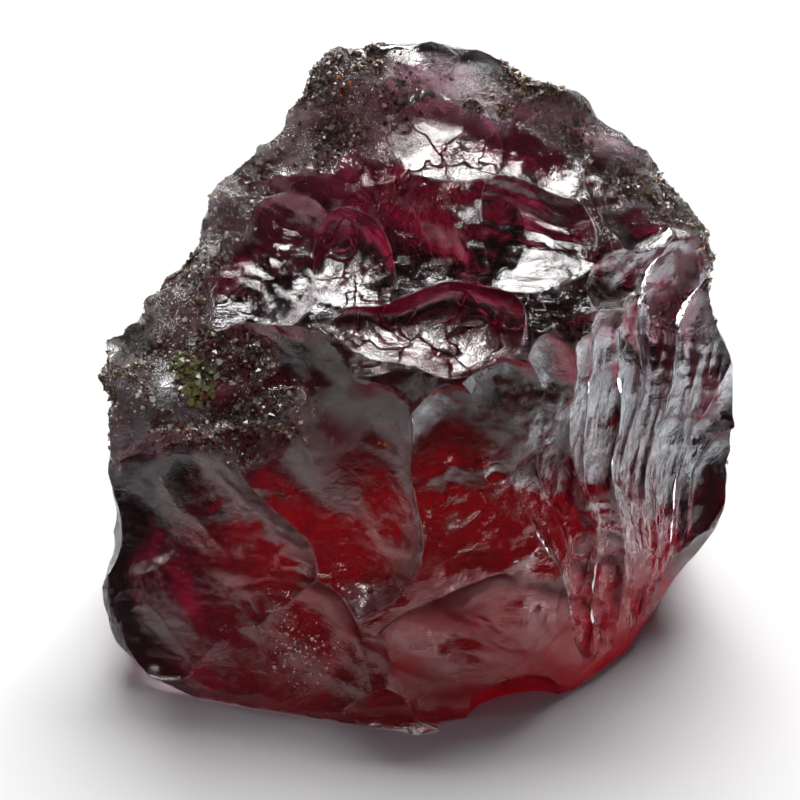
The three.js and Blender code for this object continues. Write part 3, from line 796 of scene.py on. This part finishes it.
# %% Cracks in the ledges
bent = garnet.tree.nodes.new("ShaderNodeVectorMath")
bent.operation = "MULTIPLY_ADD"
garnet.wire(garnet.noise(1.1, 2, output="Color"), bent.inputs[0])
garnet.wire((1.4 * MM,) * 3, bent.inputs[1])
garnet.wire(garnet.place, bent.inputs[2])
cells = garnet.tree.nodes.new("ShaderNodeTexVoronoi")
cells.feature = "DISTANCE_TO_EDGE"
cells.inputs["Scale"].default_value = 1 / (1.5 * MM)
garnet.wire(bent.outputs["Vector"], cells.inputs["Vector"])
on_ledge = scar_mask(LEDGES)
cracks = garnet.math("MULTIPLY", garnet.spread(cells.outputs["Distance"], 0.0, 0.03, 1.0, 0.0), on_ledge)
print("cracked scars:", LEDGES)

# %% [markdown]
# ## Fine relief
# What is finer than the mesh goes in a bump: rings, cracks, scratches and a fine tooth on the
# glassy faces, and coarse granules on the crust. Heights are in millimetres.

# %% Bump
crust_fac = garnet.attribute("crust")
tooth = garnet.noise(0.12, 6, 0.7)
granules = garnet.noise(0.22, 8, 0.75)
height = garnet.math("MULTIPLY", rings, 0.012)
height = garnet.math("MULTIPLY_ADD", garnet.noise(0.5, 5, 0.65, 1.5), 0.05, height)
height = garnet.math("MULTIPLY_ADD", tooth, 0.006, height)
height = garnet.math("MULTIPLY_ADD", cracks, -0.06, height)
bump = garnet.tree.nodes.new("ShaderNodeBump")
bump.inputs["Distance"].default_value = MM
garnet.wire(garnet.mix(crust_fac, height, garnet.math("MULTIPLY", granules, 0.22)), bump.inputs["Height"])
garnet.wire(bump.outputs["Normal"], garnet.shader.inputs["Normal"])
print("bump height unit in m:", bump.inputs["Distance"].default_value)

# %% [markdown]
# ## Gloss and crust colour
# Fresh faces are as glossy as glass, ledges a little satin, worn rims frosted and the crust dull.
# The crust's brown dims both what is reflected and what shines through.

# %% Roughness and tint
gloss = garnet.spread(garnet.noise(1.3, 4), 0.35, 0.7, 0.03, 0.16)
gloss = garnet.mix(on_ledge, gloss, garnet.spread(tooth, 0.3, 0.7, 0.08, 0.25))
worn_here = garnet.spread(garnet.noise(0.6, 3), 0.4, 0.6, 0.3, 1.0)
worn = garnet.math("MULTIPLY", garnet.attribute("rim"), worn_here)
gloss = garnet.mix(worn, gloss, 0.45)
dull = garnet.spread(granules, 0.35, 0.65, 0.4, 0.12)
garnet.wire(garnet.mix(crust_fac, gloss, dull), garnet.shader.inputs["Roughness"])

CRUST_BROWN = (0.17, 0.115, 0.09, 1)
tint = garnet.tree.nodes.new("ShaderNodeMix")
tint.data_type = "RGBA"
garnet.wire(crust_fac, tint.inputs["Factor"])
tint.inputs["A"].default_value = (1, 1, 1, 1)
tint.inputs["B"].default_value = CRUST_BROWN
garnet.wire(tint.outputs["Result"], garnet.shader.inputs["Base Color"])

# %% Give the stone its material and its place in the frame
carved.materials.clear()
carved.materials.append(garnet.material)
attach(stone, "root")
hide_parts("garnet_crystal")
print("nodes in the material:", len(garnet.tree.nodes))

# %% [markdown]
# ## Grains
# The crust is set with loose grains: brown and rusty bits, and near-white flakes whose pale colour
# is a painted glint. Particles or instances would be lighter, but they are lost when the mesh is
# exported, so the grains are one joined mesh. Grains are scattered by picking triangles at random,
# larger and more crusted triangles more often, and a random place within each.

# %% Scatter places on the stone
rng = np.random.default_rng(7)
centres = surface[triangles].mean(1)


def scatter(weights, count):
    """Random places in mm, more of them where the faces' weights are high, and which way is out."""
    a, b, c = (surface[triangles[:, k]] for k in range(3))
    cross = np.cross(b - a, c - a)
    chance = np.linalg.norm(cross, axis=1) * weights
    chosen = rng.choice(len(chance), size=count, p=chance / chance.sum())
    u, v = rng.random(count), rng.random(count)
    past = u + v > 1
    u[past], v[past] = 1 - u[past], 1 - v[past]
    spots = a[chosen] + u[:, None] * (b - a)[chosen] + v[:, None] * (c - a)[chosen]
    outward = cross[chosen] / np.maximum(np.linalg.norm(cross[chosen], axis=1), 1e-20)[:, None]
    return spots, outward


def grain_sizes(middling, spread, count):
    sizes = rng.lognormal(math.log(middling), spread, count)
    return np.clip(sizes, 0.4 * middling, 4 * middling)


GRAINS = 22000
# tones run from the browns up into the near-white step, which is a painted glint
BROWN_TO_GLINT_TONE = 0.88
patchy = np.clip(0.5 + 1.2 * rough_noise(centres, 1.5, 2, 61), 0.03, 1) * (centres[:, 2] > 0.6)
spots, outward = scatter(crust[triangles].mean(1) ** 1.5 * patchy, GRAINS)
sizes = grain_sizes(0.038, 0.5, GRAINS)
tones = rng.random(GRAINS) * BROWN_TO_GLINT_TONE
report("grains scattered:", GRAINS)

# %% [markdown]
# ## Four clumps
# Some grains sit close together: a greenish clump on the shelf, a few orange bits near the apex and
# on the front, and a patch of near-white splinters low on the front, whose pale colour is a painted
# glint. Tone picks a colour in the next cell.

# %% Clumps of grains
GREENISH, ORANGE, PAINTED_GLINT_TONE = 0.92, 0.97, 0.86
# place, radius, count, size, tone
CLUMPS = [
    ((-6.7, -2.1, 9.1), 0.8, 260, 0.075, GREENISH),
    ((-2.2, 3.0, 16.1), 0.35, 14, 0.06, ORANGE),
    ((-1.6, -4.6, 8.7), 0.3, 8, 0.05, ORANGE),
    # near-white splinters: their colour is a painted glint
    ((-3.6, -6.5, 2.1), 0.9, 90, 0.033, PAINTED_GLINT_TONE),
]
parts = [(spots, outward, sizes, tones)]
for place, radius, count, size, tone in CLUMPS:
    away = np.linalg.norm(centres - np.array(place), axis=1)
    near = np.clip(1 - (away - away.min()) / radius, 0, 1)
    parts.append((*scatter(near, count), grain_sizes(size, 0.4, count), np.full(count, tone)))
spots, outward, sizes, tones = (np.concatenate(column) for column in zip(*parts))
print("grains in clumps:", len(spots) - GRAINS)

# %% [markdown]
# ## The shape of a grain
# Each grain is a squashed and skewed eight-sided crystal, turned at random. The random turn comes
# from a QR split of random numbers, which gives a clean rotation or its mirror image. The mirrored
# ones get their triangles turned round, so that all faces point out.

# %% Build the grains
GRAIN_POINTS = np.array([(1, 0, 0), (0, 1, 0), (-1, 0, 0), (0, -1, 0), (0.2, 0.1, 1), (0.1, -0.2, -1)])
UPPER_FACES = [(0, 1, 4), (1, 2, 4), (2, 3, 4), (3, 0, 4)]
LOWER_FACES = [(1, 0, 5), (2, 1, 5), (3, 2, 5), (0, 3, 5)]
GRAIN_FACES = np.array(UPPER_FACES + LOWER_FACES)


def grain_mesh(name):
    count = len(spots)
    turn, _ = np.linalg.qr(rng.normal(size=(count, 3, 3)))
    shape = GRAIN_POINTS + rng.uniform(-0.18, 0.18, (count, 6, 3))
    shape = (shape * rng.uniform(0.55, 1.25, (count, 1, 3))) @ turn
    bodies = spots[:, None] + (shape + 0.1 * outward[:, None]) * sizes[:, None, None]
    mirrored = np.linalg.det(turn) < 0
    faces = np.where(mirrored[:, None, None], GRAIN_FACES[None, :, ::-1], GRAIN_FACES[None])
    faces = faces + (np.arange(count) * 6)[:, None, None]
    mesh = bpy.data.meshes.new(name)
    mesh.from_pydata((bodies * MM).reshape(-1, 3).tolist(), [], faces.reshape(-1, 3).tolist())
    store_share(mesh, "tone", np.repeat(tones, 6))
    mesh.update()
    return mesh


grains = bpy.data.objects.new("crust_grains", grain_mesh("crust_grains"))
bpy.context.scene.collection.objects.link(grains)
report("grain triangles:", len(grains.data.polygons))

# %% [markdown]
# ## Grain colours
# A colour ramp with hard steps turns the tone into one of seven colours, so that each grain has one
# colour of its own. Fine noise varies the gloss, as each broken grain turns another face to us.

# %% Grain material
# the near-white step at 0.8 is a painted glint; the other steps are the grains' own colours
GRAIN_COLOURS = [
    (0.0, (0.05, 0.028, 0.018, 1)), (0.25, (0.16, 0.1, 0.06, 1)), (0.55, (0.22, 0.08, 0.04, 1)),
    (0.65, (0.42, 0.33, 0.24, 1)), (0.8, (0.85, 0.8, 0.74, 1)), (0.9, (0.22, 0.21, 0.07, 1)),
    (0.95, (0.75, 0.2, 0.03, 1)),
]
mineral = Nodes("mineral_grains_and_painted_glints")
ramp = mineral.tree.nodes.new("ShaderNodeValToRGB")
ramp.color_ramp.interpolation = "CONSTANT"
while len(ramp.color_ramp.elements) < len(GRAIN_COLOURS):
    ramp.color_ramp.elements.new(0.5)
for element, (at, colour) in zip(ramp.color_ramp.elements, GRAIN_COLOURS):
    element.position = at
    element.color = colour
mineral.wire(mineral.attribute("tone"), ramp.inputs["Fac"])
mineral.wire(ramp.outputs["Color"], mineral.shader.inputs["Base Color"])
mineral.wire(mineral.spread(mineral.noise(0.05, 2), 0.3, 0.7, 0.12, 0.4), mineral.shader.inputs["Roughness"])
grains.data.materials.append(mineral.material)
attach(grains, "root")
print("grain colours:", len(GRAIN_COLOURS))

# %% [markdown]
# ## The table
# A pale, matt table, wide enough to fill the view. It lies a hair under the stone: if both were
# at the same height, light inside the stone would meet the table instead of the polished underside,
# and the whole lower half would look black.

# %% Table
TABLE_GAP = 0.03 * MM
bpy.ops.mesh.primitive_plane_add(size=6.0, location=(0, 0, -TABLE_GAP))
table = bpy.context.active_object
table.name = "table"
paper = Nodes("pale_table")
paper.shader.inputs["Base Color"].default_value = (0.9, 0.9, 0.92, 1)
paper.shader.inputs["Roughness"].default_value = 0.9
table.data.materials.append(paper.material)
table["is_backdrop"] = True
print("table below the stone by m:", TABLE_GAP)

# %% [markdown]
# ## Lights
# A clear stone lives from what is behind it. The key light stands behind, so that light comes
# through the stone, makes it glow and throws a soft shadow forward. Three more lights are seen only
# in the stone, not on the table: a box overhead that the flat ledges mirror, a dim, wide glow
# behind for the light that bounces inside, and one behind on the left that lights the lower left
# corner. A small one low on the right gives the fan its bluish streaks.

# %% Softboxes
def softbox(name, location, target, width, height, power, colour):
    light = bpy.data.lights.new(name, "AREA")
    light.shape = "RECTANGLE"
    light.size = width
    light.size_y = height
    light.energy = power
    light.color = colour
    holder = bpy.data.objects.new(name, light)
    holder.location = location
    holder.rotation_euler = (Vector(location) - Vector(target)).to_track_quat("Z", "Y").to_euler()
    holder.visible_camera = False
    bpy.context.scene.collection.objects.link(holder)
    return holder


softbox("back_key", (0.12, 0.95, 1.1), (0, 0, 0.005), 1.1, 0.9, 34, (1.0, 0.99, 0.97))
overhead = softbox("overhead", (-0.1, 0.38, 1.5), (0, 0, 0), 0.85, 0.65, 50, (1.0, 1.0, 1.0))
glow = softbox("back_glow", (0.0, 1.2, 0.9), (0, 0, 0), 3.4, 2.2, 12, (1.0, 0.97, 0.95))
rear_left = softbox("rear_left", (-0.9, 0.9, 0.55), (0, 0, 0), 0.8, 0.6, 26, (1.0, 0.95, 0.95))
for seen_in_stone_only in (overhead, glow, rear_left):
    seen_in_stone_only.visible_diffuse = False
low_right = (0.032, -0.004, 0.0006)
softbox("low_right", low_right, (0.032, -0.004, 0.3), 0.034, 0.06, 0.028, (0.85, 0.92, 1.0))

room = bpy.data.worlds.new("room")
room.use_nodes = True
room.node_tree.nodes["Background"].inputs["Color"].default_value = (0.045, 0.045, 0.05, 1)
bpy.context.scene.world = room

# %% [markdown]
# ## Camera
# A long lens that looks down from 20 cm above the table keeps the stone's proportions true. Light
# goes to and fro inside the stone before it comes out, and it is given twelve bounces. The Standard
# view keeps the table white and the red pure.

# %% Camera and view
ELEVATION = math.radians(38)
DISTANCE = 0.320
BOUNCES = 12
look_at = Vector((-0.555 * MM, 0, 6.62 * MM))
back = Vector((0, -math.cos(ELEVATION), math.sin(ELEVATION)))
lens = bpy.data.cameras.new("camera")
lens.lens = 480
lens.sensor_width = 36
lens.clip_start = 0.01
lens.clip_end = 10
camera = bpy.data.objects.new("camera", lens)
camera.location = look_at + back * DISTANCE
camera.rotation_euler = back.to_track_quat("Z", "Y").to_euler()
scene = bpy.context.scene
scene.collection.objects.link(camera)
scene.camera = camera
scene.view_settings.view_transform = "Standard"
scene.cycles.max_bounces = BOUNCES
scene.cycles.transmission_bounces = BOUNCES
print("camera at:", [round(value, 3) for value in camera.location])

# %% [markdown]
# ## Measure and finish
# The finished stone is stretched to the size of the solid that it covers, and the box round all that
# is shown, the table apart, is measured and printed.

# %% Measure and finish
visual_box = [list(corner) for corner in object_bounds()]
report("visual box in m:", visual_box)
